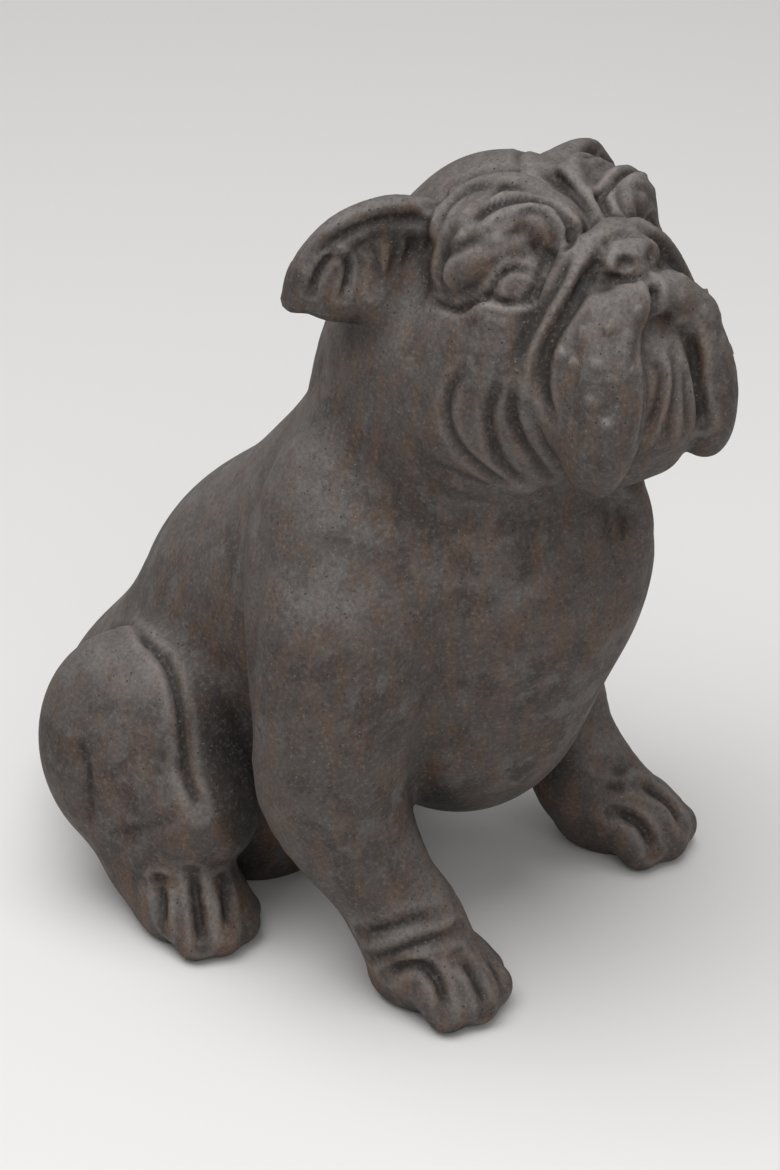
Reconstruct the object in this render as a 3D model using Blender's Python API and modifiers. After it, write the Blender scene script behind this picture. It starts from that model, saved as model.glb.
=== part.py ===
"""A bulldog garden statue, sitting up with its head turned and raised, cast in one piece.

The figure is modelled as clay: lumps and rolls that run softly into each other, then grooves pressed
into the skin. Places and sizes are in hundredths of the statue's height, +X to the dog's left, -Y to
its front and +Z up. The head is modelled looking along -Y about its own middle, then turned on the
neck. Rows of four numbers are a place and a radius there.
"""

import bmesh
import bpy
import numpy as np
from mathutils import Euler, Matrix

NAME = "bulldog"
HEIGHT = 0.457
CROWN = 94.2
SHARE = HEIGHT / CROWN

VOXEL = 0.8
TRIANGLES = 9400
CUTTER = 1.0

STONE_COLOUR = (0.075, 0.06, 0.052)
STONE_ROUGHNESS = 0.7

HEAD_AT = (-1.0, -18.5, 77.0)
HEAD_TURN = (-22.0, 0.0, -20.0)
NECK_BLEND = 6.0
# The left brow, eye and ear are a little lower and closer in than the right ones.
BROW_DROP = {-1: 0.0, 1: 1.5}
EYE_SHIFT = {-1: (0.0, 0.0, 0.0), 1: (-1.6, 1.2, -0.6)}
EAR_SHIFT = {-1: (0.0, 0.0, 0.0), 1: (-2.4, 3.4, -1.3)}

BOTH = (-1, 1)
RIGHT = (-1,)
LEFT = (1,)
FAR = 60.0
MARGIN = 3.0


def soft_min(a, b, blend):
    """The smaller of two distances, rounded where they are within blend of each other."""
    near = np.maximum(blend - np.abs(a - b), 0.0) / blend
    return np.minimum(a, b) - near * near * blend / 4


def turn_matrix(degrees):
    return np.array(Euler(np.radians(degrees)).to_matrix())


def curve_through(points, steps=5):
    """Points on the smooth curve (Catmull-Rom) through the given rows of numbers."""
    p = np.array(points, float)
    if len(p) < 3:
        t = np.linspace(0, 1, steps + 1)[:, None]
        return p[0] * (1 - t) + p[-1] * t
    p = np.vstack([2 * p[0] - p[1], p, 2 * p[-1] - p[-2]])
    out = []
    for a, b, c, d in zip(p, p[1:], p[2:], p[3:]):
        for t in np.arange(steps) / steps:
            bend = (2 * a - 5 * b + 4 * c - d) * t**2 + (3 * b - 3 * c + d - a) * t**3
            out.append(b + 0.5 * ((c - a) * t + bend))
    out.append(p[-2])
    return np.array(out)


def line_distance(p, path, radii=None):
    """Distance from each point to a polyline, less the line's radius there."""
    best = np.full(len(p), np.inf)
    for i in range(len(path) - 1):
        a, along = path[i], path[i + 1] - path[i]
        t = np.clip((p - a) @ along / max(along @ along, 1e-9), 0, 1)
        d = np.sqrt(((p - a - t[:, None] * along) ** 2).sum(1))
        if radii is not None:
            d = d - (radii[i] * (1 - t) + radii[i + 1] * t)
        best = np.minimum(best, d)
    return best


class Clay:
    """Forms that add up to one soft solid, as a distance that is zero on its skin."""

    def __init__(self):
        self.forms = []
        self.balls = []
        self.grooves = []

    def add(self, centre, reach, shape, blend, mode):
        self.forms.append((np.array(centre, float), reach, shape, blend, mode))

    def lump(self, centre, radii, turn=(0, 0, 0), blend=4.0, mode="add", sides=(1,)):
        """An ellipsoid, turned by Euler degrees, once or on both sides."""
        for side in sides:
            c = np.array(centre, float) * (side, 1, 1)
            r = np.array(radii, float)
            m = turn_matrix((turn[0], turn[1] * side, turn[2] * side))

            def shape(p, c=c, r=r, m=m):
                q = (p - c) @ m
                k0 = np.sqrt(((q / r) ** 2).sum(1))
                k1 = np.sqrt(((q / r**2) ** 2).sum(1))
                return k0 * (k0 - 1) / np.maximum(k1, 1e-6)

            self.add(c, r.max(), shape, blend, mode)
            if mode == "add":
                self.balls.append((c, m * r))

    def roll(self, points, blend=3.0, sides=(1,)):
        """A round roll through rows of x, y, z and radius."""
        path = curve_through(points)
        radii = path[:, 3]
        for side in sides:
            line = path[:, :3] * (side, 1, 1)
            centre = line.mean(0)
            reach = (np.linalg.norm(line - centre, axis=1) + radii).max()

            def shape(p, line=line):
                return line_distance(p, line, radii)

            self.add(centre, reach, shape, blend, "add")
            for c, r in zip(line, radii):
                self.balls.append((c, np.eye(3) * r))

    def skin_line(self, points, side=1):
        """A smooth line through points moved onto the skin."""
        on_skin = settled(np.array(points, float), self.distance, 6)
        return curve_through(on_skin) * (side, 1, 1)

    def press(self, points, width, depth, sides=(1,), bank=0.2):
        """A groove with raised banks that fades at its ends, or a ridge where depth is negative."""
        for side in sides:
            line = self.skin_line(points, side)
            centre = line.mean(0)
            reach = np.linalg.norm(line - centre, axis=1).max() + 3.5 * width

            def shape(p, line=line):
                off = line_distance(p, line) / width
                ends = np.minimum(((p - line[0]) ** 2).sum(1), ((p - line[-1]) ** 2).sum(1))
                full = np.clip(np.sqrt(ends) / (3 * width), 0, 1)
                return depth * full * (np.exp(-(off**2)) - bank * np.exp(-((off - 2) ** 2)))

            self.grooves.append((centre, reach, shape))

    def distance(self, p):
        d = np.full(len(p), FAR)
        for centre, reach, shape, blend, mode in self.forms:
            apart = ((p - centre) ** 2).sum(1)
            near = np.flatnonzero(apart < (reach + blend + MARGIN) ** 2)
            if not len(near):
                continue
            q = shape(p[near])
            if mode == "add":
                d[near] = soft_min(d[near], q, blend)
            else:
                d[near] = -soft_min(-d[near], q, blend)
        return d

    def relief(self, p):
        """How deep the grooves are pressed at points on the skin."""
        deep = np.zeros(len(p))
        for centre, reach, shape in self.grooves:
            near = np.flatnonzero(((p - centre) ** 2).sum(1) < reach**2)
            if len(near):
                deep[near] += shape(p[near])
        return deep


def slope(p, here, distance, step=0.03):
    """The gradient of a distance at each point, given the distance there."""
    g = np.empty_like(p)
    for axis in range(3):
        offset = np.zeros(3)
        offset[axis] = step
        g[:, axis] = (distance(p + offset) - here) / step
    return g


def settled(p, distance, rounds):
    """Points moved onto the skin of a distance."""
    p = p.copy()
    for _ in range(rounds):
        d = distance(p)
        g = slope(p, d, distance)
        p -= g * (np.clip(d, -2, 2) / np.maximum((g * g).sum(1), 0.2))[:, None]
    return p


HEAD_GROOVES = (
    # over the forehead, and between the brows to the stop
    ([(11.5, -4.4, 13.1), (7.5, -2, 14.2), (4.1, -0.2, 14.1), (1.7, -3.4, 14.6)], 0.8, 0.5, BOTH),
    ([(2.3, -7.1, 13.2), (1.5, -10.3, 12.4), (1.1, -12.8, 11.2), (0.9, -14.5, 9.7),
      (1, -15.5, 8.4)], 0.9, 0.9, LEFT),
    # round the brow
    ([(11.5, -11.5, 10.9), (10.5, -12.2, 11.9), (8.9, -13, 12.5), (7, -13.8, 12.6), (4.9, -14.2, 12),
      (3.3, -14.6, 11), (2.8, -15.6, 9.6), (2.8, -16.2, 8), (4.3, -17.5, 7)], 0.8, 0.8, BOTH),
    # inside the eye, and behind the nose roll
    ([(7, -15, 9.2), (6.1, -14.2, 7.1), (6.1, -14.3, 5.3), (7.5, -15.6, 3.8), (8.5, -15.4, 2.5),
      (9.8, -14.9, 1), (11.4, -14.2, -0.6)], 1, 1.2, BOTH),
    ([(5.1, -18.5, 6.7), (6.3, -18.5, 5.7), (7.6, -18.2, 4), (8.9, -17.3, 2.1), (9.8, -15.8, 0.2),
      (11.1, -14.7, -1.7), (12.2, -14.1, -3.7)], 0.9, 0.8, BOTH),
    # between the nose roll and the lip
    ([(2.7, -20.4, 6.5), (3.7, -20.5, 5.1), (5, -19.9, 3.6), (6.4, -18.9, 1.6), (8.1, -18, -0.2),
      (9.2, -16.9, -2.1), (10, -16.3, -4.3), (10.4, -16.1, -6.7), (10.5, -16.7, -8.7)], 0.9, 0.9, BOTH),
    # cheek folds behind the lip
    ([(14.9, -9.9, -2.7), (15.5, -8.1, -4), (15.4, -6.4, -6.2), (15.1, -5.5, -8.5), (14.2, -5.1, -11.2),
      (12.3, -5.1, -13.6), (10.1, -4.9, -15.8), (7.8, -4.9, -17.7)], 1, 1, BOTH),
    ([(13.2, -12.4, -5), (13.1, -10.1, -7.1), (12.7, -8.6, -9.8), (11.7, -7.5, -12.5),
      (9.7, -6.3, -15.2), (7.1, -5.4, -17.6)], 0.9, 1, BOTH),
    ([(12.2, -13.7, -5.3), (11.6, -11.7, -8), (10.6, -10.6, -10.7), (9.1, -9.6, -13.4),
      (6.4, -7.5, -16.4), (3.4, -5.4, -18.6)], 0.9, 0.8, BOTH),
    # behind the jaw and under it
    ([(16.3, 8.9, 1.3), (17.2, 8.6, -1.2), (17.9, 8.6, -4.5), (18.4, 7.3, -7.5), (18.1, 5, -10.5),
      (16.9, 2.5, -12.7)], 1.2, 0.8, BOTH),
    ([(16.5, -0.9, -11.5), (14.6, -2.7, -13.7), (11.2, -4.1, -16.3), (6.8, -4.2, -18.8),
      (3.2, -4.2, -20.2)], 1, 0.6, BOTH),
)
BODY_GROOVES = (
    # fold round the neck, and a ridge down the breast
    ([(6.8, -28.8, 58.5), (9, -28, 54.6), (11.7, -26.3, 51.4), (13.6, -24, 49.4), (15.5, -21.6, 48),
      (17.2, -19.6, 45.3)], 1.8, 1, BOTH),
    ([(-0.8, -33.6, 45.7), (2.5, -32.9, 44.7), (5.4, -31.9, 43.2),
      (4.6, -30.4, 38.2)], 1.8, -0.6, RIGHT),
    # armpit, back of the arm, and the hollow down its outside
    ([(16.4, -20.5, 45.2), (16.6, -18.5, 38.6), (15.5, -16.5, 31.2),
      (13.3, -14.8, 23.2)], 1.8, 0.9, BOTH),
    ([(13, 5, 54), (21, -0.5, 53), (25.2, -1.4, 45), (25.6, -1, 36), (25, -0.5, 28)], 2, 1.2, BOTH),
    ([(25, -10.1, 51), (26.6, -12.3, 43), (27.5, -12.2, 33.7), (26.6, -12.8, 26)], 1.8, 0.5, BOTH),
    # wrist wrinkles
    ([(23.7, -14, 10.5), (23.4, -16.7, 11.8), (21.8, -19.1, 12.7), (18.9, -21, 12.6)], 0.9, 0.6, BOTH),
    ([(23.2, -14.6, 7.1), (23.4, -17.9, 9.1), (21.7, -20.6, 10.3),
      (17.1, -22.5, 10.3)], 0.9, 0.6, BOTH),
    # between the front toes
    ([(23.3, -16.8, 5.7), (23.2, -18.7, 7.5), (22.3, -20.7, 7.7), (22, -22.2, 6.6), (22.5, -23.4, 5.2),
      (23.2, -24.3, 3.6)], 0.8, 0.7, RIGHT),
    ([(19.3, -23.3, 8), (18.9, -24.9, 6.5), (19.4, -26.4, 4.8), (19.9, -27.4, 2.6)], 0.8, 0.6, RIGHT),
    ([(18.8, -24.3, 9.6), (20.4, -25.4, 8.1), (21.5, -27, 6.2), (21.2, -28.8, 4.3)], 0.8, 0.7, LEFT),
    ([(14.9, -22.9, 7.6), (16, -24.1, 7), (16.7, -25.6, 6), (16.7, -26.9, 4.5),
      (16.3, -27.7, 3.1)], 0.8, 0.7, LEFT),
    # round the haunch, behind it and above the hock
    ([(6.1, 32.6, 24.6), (9.3, 26.8, 28.5), (16.7, 18.3, 33.2), (18, 14.7, 32.2), (19.4, 12.3, 29.5),
      (20.7, 10.7, 25.6), (22, 9.5, 21.6), (23, 7.2, 18.1)], 1.2, 1.5, BOTH),
    ([(25.6, 20.9, 24.8), (25.8, 20.3, 21.3), (25.7, 19.8, 17.5), (24.8, 20.8, 12.1)], 1.1, 0.9, BOTH),
    ([(25.3, 17.8, 12.7), (25.5, 14.2, 14.8), (25.4, 10.3, 17.1), (24.3, 8.3, 18.4)], 1, 0.7, BOTH),
    # between the hind toes
    ([(24.6, 11.7, 8.6), (25.7, 10.7, 6.3), (26.4, 9.9, 3.6)], 0.8, 0.7, BOTH),
    ([(23.6, 8.1, 10.6), (24, 7.4, 7.8), (24.9, 6.3, 5.4), (25.8, 5.4, 2.9)], 0.8, 0.7, BOTH),
    # flank
    ([(16.4, 7.7, 30), (16, 6.8, 27.3), (15.3, 6, 23.9)], 1, 0.4, BOTH),
)


def paw(clay, side, at, turn, size, ankle, toes):
    """A paw on the floor: a pad, a bridge from the ankle, and four toes in a fan."""
    m = turn_matrix((0, 0, turn * side))

    def place(x, y, z, *radius):
        spot = m @ (x * side, y, 0)
        return (spot[0] + at[0] * side, spot[1] + at[1], z, *radius)

    clay.lump(place(0, 1.2, 3), (4.9, size - 1, 4), turn=(0, 0, turn * side), blend=3)
    clay.roll([(ankle[0] * side, *ankle[1:]), place(0, -2, 5, 4.2)], blend=3)
    for x, y, r in toes:
        toe = [place(x * 0.6, y + 7, 5.2, r), place(x * 0.9, y + 2.5, 4.4, r), place(x, y, r, r)]
        clay.roll(toe, blend=1.6)


def forelegs(clay):
    """Shoulders and straight forelegs, the left paw set a little forward and turned out."""
    clay.lump((15.5, -7, 46), (9, 10, 18), turn=(-8, 0, 0), blend=6, sides=BOTH)
    arm = [(19, -8, 44, 8.8), (20.5, -8, 33, 8.5), (20.2, -8.2, 24, 7.6),
           (18.6, -12.6, 15, 5.9), (17.8, -16.3, 9, 5.2)]
    toes = [(-4.5, -4.3, 2.3), (-1.7, -6.4, 2.6), (1.6, -6.5, 2.6), (4.5, -4.5, 2.3)]
    clay.roll(arm, blend=4, sides=RIGHT)
    paw(clay, -1, (17.4, -18.6), -4, 6.8, (17.8, -16.5, 9, 5.2), toes)
    forward = [(x + 0.2 * (44 - z) / 35, y - 1.2 * (44 - z) / 35, z, r) for x, y, z, r in arm]
    clay.roll(forward, blend=4)
    paw(clay, 1, (20.4, -20.5), 12, 7.2, (18, -17.7, 9, 5.2), toes)


def hind_legs(clay):
    """Folded thighs with the hind paws flat beside the belly."""
    toes = [(-4.2, -3.8, 2.1), (-1.6, -5.5, 2.4), (1.5, -5.5, 2.4), (4, -3.8, 2.1)]
    clay.lump((17.3, 18.6, 19.6), (8.8, 12, 14.4), turn=(0, 0, -12), blend=4, sides=BOTH)
    clay.roll([(19, 10, 15, 6.4), (18.4, 15.5, 8, 5.6), (18.2, 17.5, 5.5, 4.8)], blend=4, sides=BOTH)
    clay.roll([(18.6, 15.2, 3.9, 3.7), (20, 12, 4.2, 4.4)], blend=3, sides=BOTH)
    for side in BOTH:
        paw(clay, side, (20.4, 10.5), 6, 6, (19, 12, 6, 4.6), toes)


def body_clay():
    """Trunk, legs and neck, in the statue's own axes."""
    clay = Clay()
    # rump, loin, groin, ribs, chest and breast
    clay.lump((0, 24.3, 13.5), (15, 15, 14))
    clay.lump((0, 13, 27), (15, 15.4, 20.6), blend=10)
    clay.lump((0, 12.5, 7), (13, 9, 10), blend=6)
    clay.lump((0, 1, 39.6), (17, 14.2, 18.4), blend=10)
    clay.lump((-0.4, -11.6, 33.4), (15.2, 15.5, 18.8), blend=8)
    clay.lump((0, -18.5, 47), (15.5, 14.5, 15), blend=8)
    clay.roll([(0, -8, 50, 16), (-0.5, -11.3, 60, 16), (-1, -14.4, 70, 14.4)], blend=8)
    forelegs(clay)
    hind_legs(clay)
    clay.lump((0, 38.5, 9), (3.6, 4, 2.8), blend=3)
    dewlap = [(-0.5, -28, 62, 3), (0.3, -31.3, 57, 2.6), (0.8, -31.8, 52, 2.4), (0.6, -30.5, 47, 2)]
    clay.roll(dewlap, blend=2)
    for groove, width, depth, sides in BODY_GROOVES:
        clay.press(groove, width, depth, sides)
    return clay


def ear(clay, side):
    """A thick ear folded over at the top, its hollow looking forward."""
    shift = EAR_SHIFT[side]
    turn = (0, 22 * side, 24 * side)

    def at(x, y, z, *radius):
        return ((x + shift[0]) * side, y + shift[1], z + shift[2], *radius)

    rim = [(9.8, -2.5, 11.4, 2.3), (14, -1.8, 13.2, 2), (18.6, 0.4, 12.6, 1.9),
           (21.8, 3.4, 9.6, 1.7), (22.6, 5.4, 7, 1.4)]
    inner = [(14.6, -1.2, 10.4, 0.9), (15.2, 0, 7.4, 1), (15.6, 1.2, 4.4, 0.8)]
    outer = [(18.2, 1.6, 8.8, 0.7), (18.4, 2.6, 6.2, 0.8), (18.2, 3.4, 4, 0.6)]
    clay.lump(at(15.8, 1.8, 9), (7.6, 3.4, 5.2), turn=turn, blend=3)
    clay.roll([at(*row) for row in rim], blend=1.5)
    clay.lump(at(17, -2.4, 6.8), (4.2, 2.4, 3.6), turn=turn, blend=1.5, mode="cut")
    clay.roll([at(*row) for row in inner], blend=1)
    clay.roll([at(*row) for row in outer], blend=0.8)


def brow(clay, side):
    """The heavy brow over the eye, and the fold of forehead behind it."""
    drop = BROW_DROP[side]
    mass = [(11.6, -6.4, 7.2, 2), (10, -9.2, 9.8, 2.7), (7.2, -11.6, 10.4, 3),
            (4.4, -13.4, 9, 2.5), (3.6, -14.6, 6.6, 1.8)]
    fold = [(11, -6, 11.2, 1.3), (7.2, -7.4, 13.2, 1.5), (3.4, -9.6, 13, 1.5),
            (1.6, -12.6, 10.4, 1.4), (1.6, -14.8, 8.2, 1.1)]
    clay.roll([(x * side * (1 + 0.02 * drop), y, z - drop, r) for x, y, z, r in mass], blend=3.2)
    clay.roll([(x * side, y, z - 0.6 * drop, r) for x, y, z, r in fold], blend=1.6)


def eye(clay, side):
    """An eyeball between its lids, with a fold of skin over it and a bag under it."""
    shift = EYE_SHIFT[side]

    def at(x, y, z, *radius):
        return ((x + shift[0]) * side, y + shift[1], z + shift[2], *radius)

    fold = [(12.6, -11.5, 4.7, 0.6), (11.2, -12.8, 6.3, 1), (9.2, -13.3, 7.1, 1.2),
            (7.4, -13.5, 6.5, 0.9), (6.3, -13.3, 5, 0.6)]
    bag = [(12.2, -11.9, 3, 0.6), (10.8, -12.8, 1.7, 0.9), (9, -13.2, 1.3, 0.9), (7.3, -13.3, 2.2, 0.7)]
    upper = [(11.4, -13.2, 4.3, 0.35), (10.5, -13.9, 5.4, 0.5), (9.2, -14.1, 5.8, 0.6),
             (7.9, -14, 5.3, 0.5), (7, -13.4, 4, 0.35)]
    lower = [(11.4, -13.2, 4.2, 0.3), (10.4, -14.1, 3.3, 0.45), (9.2, -14.3, 2.9, 0.5),
             (8, -14.1, 3.1, 0.45), (7, -13.4, 3.9, 0.3)]
    clay.roll([at(*row) for row in fold], blend=1.2)
    clay.roll([at(*row) for row in bag], blend=1.4)
    clay.lump(at(9.2, -12.2, 4.4), (2.4, 2.4, 1.9), blend=0.4)
    clay.roll([at(*row) for row in upper], blend=0.4)
    clay.roll([at(*row) for row in lower], blend=0.4)


def muzzle(clay):
    """Hanging upper lips with the chin between them, and the nose under its roll of skin."""
    lip = [(0.6, -21.4, 0.7, 2), (3, -21.7, -0.1, 2.4), (5.6, -21.4, -3.2, 2.8)]
    lower_lip = [(-4.4, -21.4, -9, 1.5), (-3.8, -22.6, -5.8, 1.4), (-1.2, -23.2, -4.2, 1.3),
                 (1.4, -23.2, -4.2, 1.3), (3.9, -22.2, -5.8, 1.4), (4.4, -20.8, -9, 1.5)]
    chin = [(1.4, -19.4, -8.5, 3), (2, -17, -12.2, 4), (1.8, -14.4, -14.4, 4.2)]
    roll = [(9.2, -12.8, -4.5, 2), (7.2, -16, 0.7, 2.4), (4.9, -17.8, 4.1, 2.2),
            (2.6, -18.6, 6, 1.8), (0, -18.8, 6.7, 1.6)]
    clay.lump((0, -15.2, -4), (8.6, 6, 7), blend=2.5)
    clay.lump((6.5, -19.2, -7.9), (4, 5.6, 10.4), turn=(13, -10, 0), blend=2, sides=RIGHT)
    clay.lump((6.4, -17.9, -8.7), (3.8, 5.5, 10), turn=(14, -8, 0), blend=2)
    clay.roll(lip, blend=1, sides=BOTH)
    clay.lump((0, -19.4, -9), (4.6, 3.4, 5.5), blend=1.2)
    clay.roll(chin, blend=1.5, sides=BOTH)
    clay.roll(lower_lip, blend=0.8)
    clay.roll(roll, blend=1.4, sides=BOTH)
    clay.lump((0, -19.9, 4.3), (3.8, 2.8, 2.5), blend=0.7)
    clay.lump((1.9, -22.6, 4.2), (1, 1.2, 0.9), blend=0.5, mode="cut", sides=BOTH)


def head_clay():
    """Skull, face and ears, looking along -Y about the head's middle."""
    clay = Clay()
    # skull, nape, jowls, throat, face and cheekbones
    clay.lump((1.2, 1.2, 4.5), (10.4, 13.5, 11.3))
    clay.lump((0, 10.3, -4.5), (14.5, 11.8, 12.5), blend=6)
    clay.lump((8.5, 1, -5), (9, 12, 12), blend=6, sides=BOTH)
    clay.lump((0, -6, -5), (12.5, 10, 12), blend=5)
    clay.lump((0, -13.5, -5), (11, 7.5, 10.5), blend=4)
    clay.lump((9.6, -8.2, -1.2), (4.8, 5.6, 6), blend=4, sides=BOTH)
    for side in BOTH:
        brow(clay, side)
        eye(clay, side)
    muzzle(clay)
    for side in BOTH:
        ear(clay, side)
    for groove, width, depth, sides in HEAD_GROOVES:
        clay.press(groove, width, depth, sides)
    return clay


class Figure:
    """The whole dog: the body, and the head set on its neck."""

    def __init__(self):
        self.body = body_clay()
        self.head = head_clay()
        self.at = np.array(HEAD_AT)
        self.turn = turn_matrix(HEAD_TURN)

    def to_head(self, p):
        return (p - self.at) @ self.turn

    def from_head(self, p):
        return p @ self.turn.T + self.at

    def distance(self, p):
        head = self.head.distance(self.to_head(p))
        return soft_min(self.body.distance(p), head, NECK_BLEND)

    def relief(self, p):
        deep = self.body.relief(p) + self.head.relief(self.to_head(p))
        return np.clip(deep, -0.7, 1.6)

    def balls(self):
        """Every ball of clay as a 4 x 4 matrix that shapes a unit sphere."""
        for centre, shape in self.body.balls:
            yield matrix_of(centre, shape)
        for centre, shape in self.head.balls:
            yield matrix_of(self.from_head(centre), self.turn @ shape)


def matrix_of(centre, shape):
    m = np.eye(4)
    m[:3, :3] = shape
    m[:3, 3] = centre
    return Matrix(m.tolist())


def voxel_remeshed(mesh, voxel, smooth=0):
    """The mesh as one even skin of small squares."""
    obj = bpy.data.objects.new("remesh", mesh)
    bpy.context.scene.collection.objects.link(obj)
    remesh = obj.modifiers.new("voxels", "REMESH")
    remesh.mode = "VOXEL"
    remesh.voxel_size = voxel
    if smooth:
        relax = obj.modifiers.new("relax", "SMOOTH")
        relax.factor = 0.5
        relax.iterations = smooth
    bpy.context.view_layer.update()
    graph = bpy.context.evaluated_depsgraph_get()
    made = bpy.data.meshes.new_from_object(obj.evaluated_get(graph))
    bpy.data.objects.remove(obj)
    return made


def settle_mesh(mesh, distance, rounds):
    p = np.empty(len(mesh.vertices) * 3)
    mesh.vertices.foreach_get("co", p)
    p = settled(p.reshape(-1, 3), distance, rounds)
    mesh.vertices.foreach_set("co", p.ravel())
    mesh.update()


def carve(mesh, relief):
    """Presses the grooves into the skin, straight in."""
    p = np.empty(len(mesh.vertices) * 3)
    n = np.empty(len(mesh.vertices) * 3)
    mesh.vertices.foreach_get("co", p)
    mesh.vertices.foreach_get("normal", n)
    p, n = p.reshape(-1, 3), n.reshape(-1, 3)
    mesh.vertices.foreach_set("co", (p - n * relief(p)[:, None]).ravel())
    mesh.update()


def cast(figure, voxel):
    """The figure as a mesh: its balls fused, settled onto the soft skin, then carved."""
    bm = bmesh.new()
    for ball in figure.balls():
        bmesh.ops.create_icosphere(bm, subdivisions=2, radius=1.0, matrix=ball)
    mesh = bpy.data.meshes.new(NAME)
    bm.to_mesh(mesh)
    bm.free()
    mesh = voxel_remeshed(mesh, voxel, 2)
    settle_mesh(mesh, figure.distance, 4)
    mesh = voxel_remeshed(mesh, voxel, 1)
    settle_mesh(mesh, figure.distance, 2)
    carve(mesh, figure.relief)
    return mesh


def stone(name):
    """Cast stone with a dark, worn brown-grey finish."""
    material = bpy.data.materials.new(name)
    material.use_nodes = True
    shader = material.node_tree.nodes["Principled BSDF"]
    shader.inputs["Base Color"].default_value = (*STONE_COLOUR, 1)
    shader.inputs["Roughness"].default_value = STONE_ROUGHNESS
    return material


def collection(name):
    made = bpy.data.collections.new(name)
    bpy.context.scene.collection.children.link(made)
    return made


def apply_modifiers(obj):
    bpy.context.view_layer.update()
    graph = bpy.context.evaluated_depsgraph_get()
    mesh = bpy.data.meshes.new_from_object(obj.evaluated_get(graph))
    obj.modifiers.clear()
    obj.data = mesh


def centre_on_floor(mesh):
    """Puts the origin under the middle of the statue, on the floor."""
    p = np.empty(len(mesh.vertices) * 3)
    mesh.vertices.foreach_get("co", p)
    p = p.reshape(-1, 3)
    low, high = p.min(0), p.max(0)
    mesh.transform(Matrix.Translation((-(low[0] + high[0]) / 2, -(low[1] + high[1]) / 2, 0)))


def main():
    for obj in list(bpy.data.objects):
        bpy.data.objects.remove(obj)
    mesh = cast(Figure(), VOXEL)
    mesh.transform(Matrix.Scale(SHARE, 4))
    statue = bpy.data.objects.new(NAME, mesh)
    collection(NAME).objects.link(statue)
    thin = statue.modifiers.new("fewer_faces", "DECIMATE")
    thin.ratio = min(1.0, TRIANGLES / (2 * len(mesh.polygons)))
    apply_modifiers(statue)
    centre_on_floor(statue.data)
    below = bpy.data.meshes.new("floor_cutter")
    bm = bmesh.new()
    box = Matrix.Translation((0, 0, -CUTTER / 2)) @ Matrix.Scale(CUTTER, 4)
    bmesh.ops.create_cube(bm, size=1.0, matrix=box)
    bm.to_mesh(below)
    bm.free()
    cutter = bpy.data.objects.new("floor_cutter", below)
    collection("cutters").objects.link(cutter)
    cutter.hide_render = True
    cutter.display_type = "WIRE"
    level = statue.modifiers.new("flat_underside", "BOOLEAN")
    level.operation = "DIFFERENCE"
    level.solver = "EXACT"
    level.object = cutter
    statue.data.materials.clear()
    statue.data.materials.append(stone("cast_stone"))
    statue.data.shade_smooth()


main()
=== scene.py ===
"""Bulldog garden statue: the cast figure with its carving and worn stone finish, and the studio round it.

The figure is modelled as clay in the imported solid's own form, in units of 1/94.2 of its height, about
4.9 mm, with +X to the dog's left, -Y to its front and +Z up. The head is modelled looking along -Y about
its own middle, then turned on the neck. Rows of four numbers are a place and a radius there.
"""

import math

import bmesh
import bpy
import numpy as np
from bpy.props import FloatProperty, FloatVectorProperty, PointerProperty, StringProperty
from mathutils import Euler, Matrix, Vector


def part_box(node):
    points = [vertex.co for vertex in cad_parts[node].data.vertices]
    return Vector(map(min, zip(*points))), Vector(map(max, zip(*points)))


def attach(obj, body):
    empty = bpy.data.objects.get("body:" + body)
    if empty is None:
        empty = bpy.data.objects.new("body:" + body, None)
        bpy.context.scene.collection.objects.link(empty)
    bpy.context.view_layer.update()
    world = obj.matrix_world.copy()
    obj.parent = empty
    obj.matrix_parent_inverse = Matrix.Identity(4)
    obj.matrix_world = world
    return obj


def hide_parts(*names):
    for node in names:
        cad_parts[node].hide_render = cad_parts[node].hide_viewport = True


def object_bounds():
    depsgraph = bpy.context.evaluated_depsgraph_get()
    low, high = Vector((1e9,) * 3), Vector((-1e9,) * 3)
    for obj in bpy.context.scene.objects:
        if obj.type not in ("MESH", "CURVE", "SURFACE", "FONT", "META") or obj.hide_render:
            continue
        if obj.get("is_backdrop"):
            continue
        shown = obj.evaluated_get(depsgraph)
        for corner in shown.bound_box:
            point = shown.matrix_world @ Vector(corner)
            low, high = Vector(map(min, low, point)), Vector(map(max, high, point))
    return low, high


bl_info = {
    "name": "Bulldog Garden Statue",
    "version": (1, 0, 0),
    "blender": (4, 5, 0),
    "location": "3D View > Sidebar > Statue",
    "description": "Casts a bulldog garden statue in worn dark stone and lights it",
    "category": "Add Mesh",
}

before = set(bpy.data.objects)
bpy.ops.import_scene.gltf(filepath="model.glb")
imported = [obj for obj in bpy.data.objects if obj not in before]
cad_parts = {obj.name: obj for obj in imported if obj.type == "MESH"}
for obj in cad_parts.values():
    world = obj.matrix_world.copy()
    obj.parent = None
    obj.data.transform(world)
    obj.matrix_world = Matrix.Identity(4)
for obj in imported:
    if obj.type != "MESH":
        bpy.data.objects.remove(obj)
CAD_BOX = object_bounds()
CAD_LOW, CAD_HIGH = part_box("bulldog")
HEIGHT = CAD_HIGH[2] - CAD_LOW[2]
# The statue's height in units of clay
CROWN = 94.2

NAME = "bulldog_cast"

# The dog's sides, as the sign of X
BOTH = (-1, 1)
RIGHT = (-1,)
LEFT = (1,)

# Middle of the head, its turn in degrees, and how widely it melts into the neck
HEAD_AT = (-1.0, -18.5, 77.0)
HEAD_TURN = (-22.0, 0.0, -20.0)
NECK_BLEND = 6.0

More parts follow.
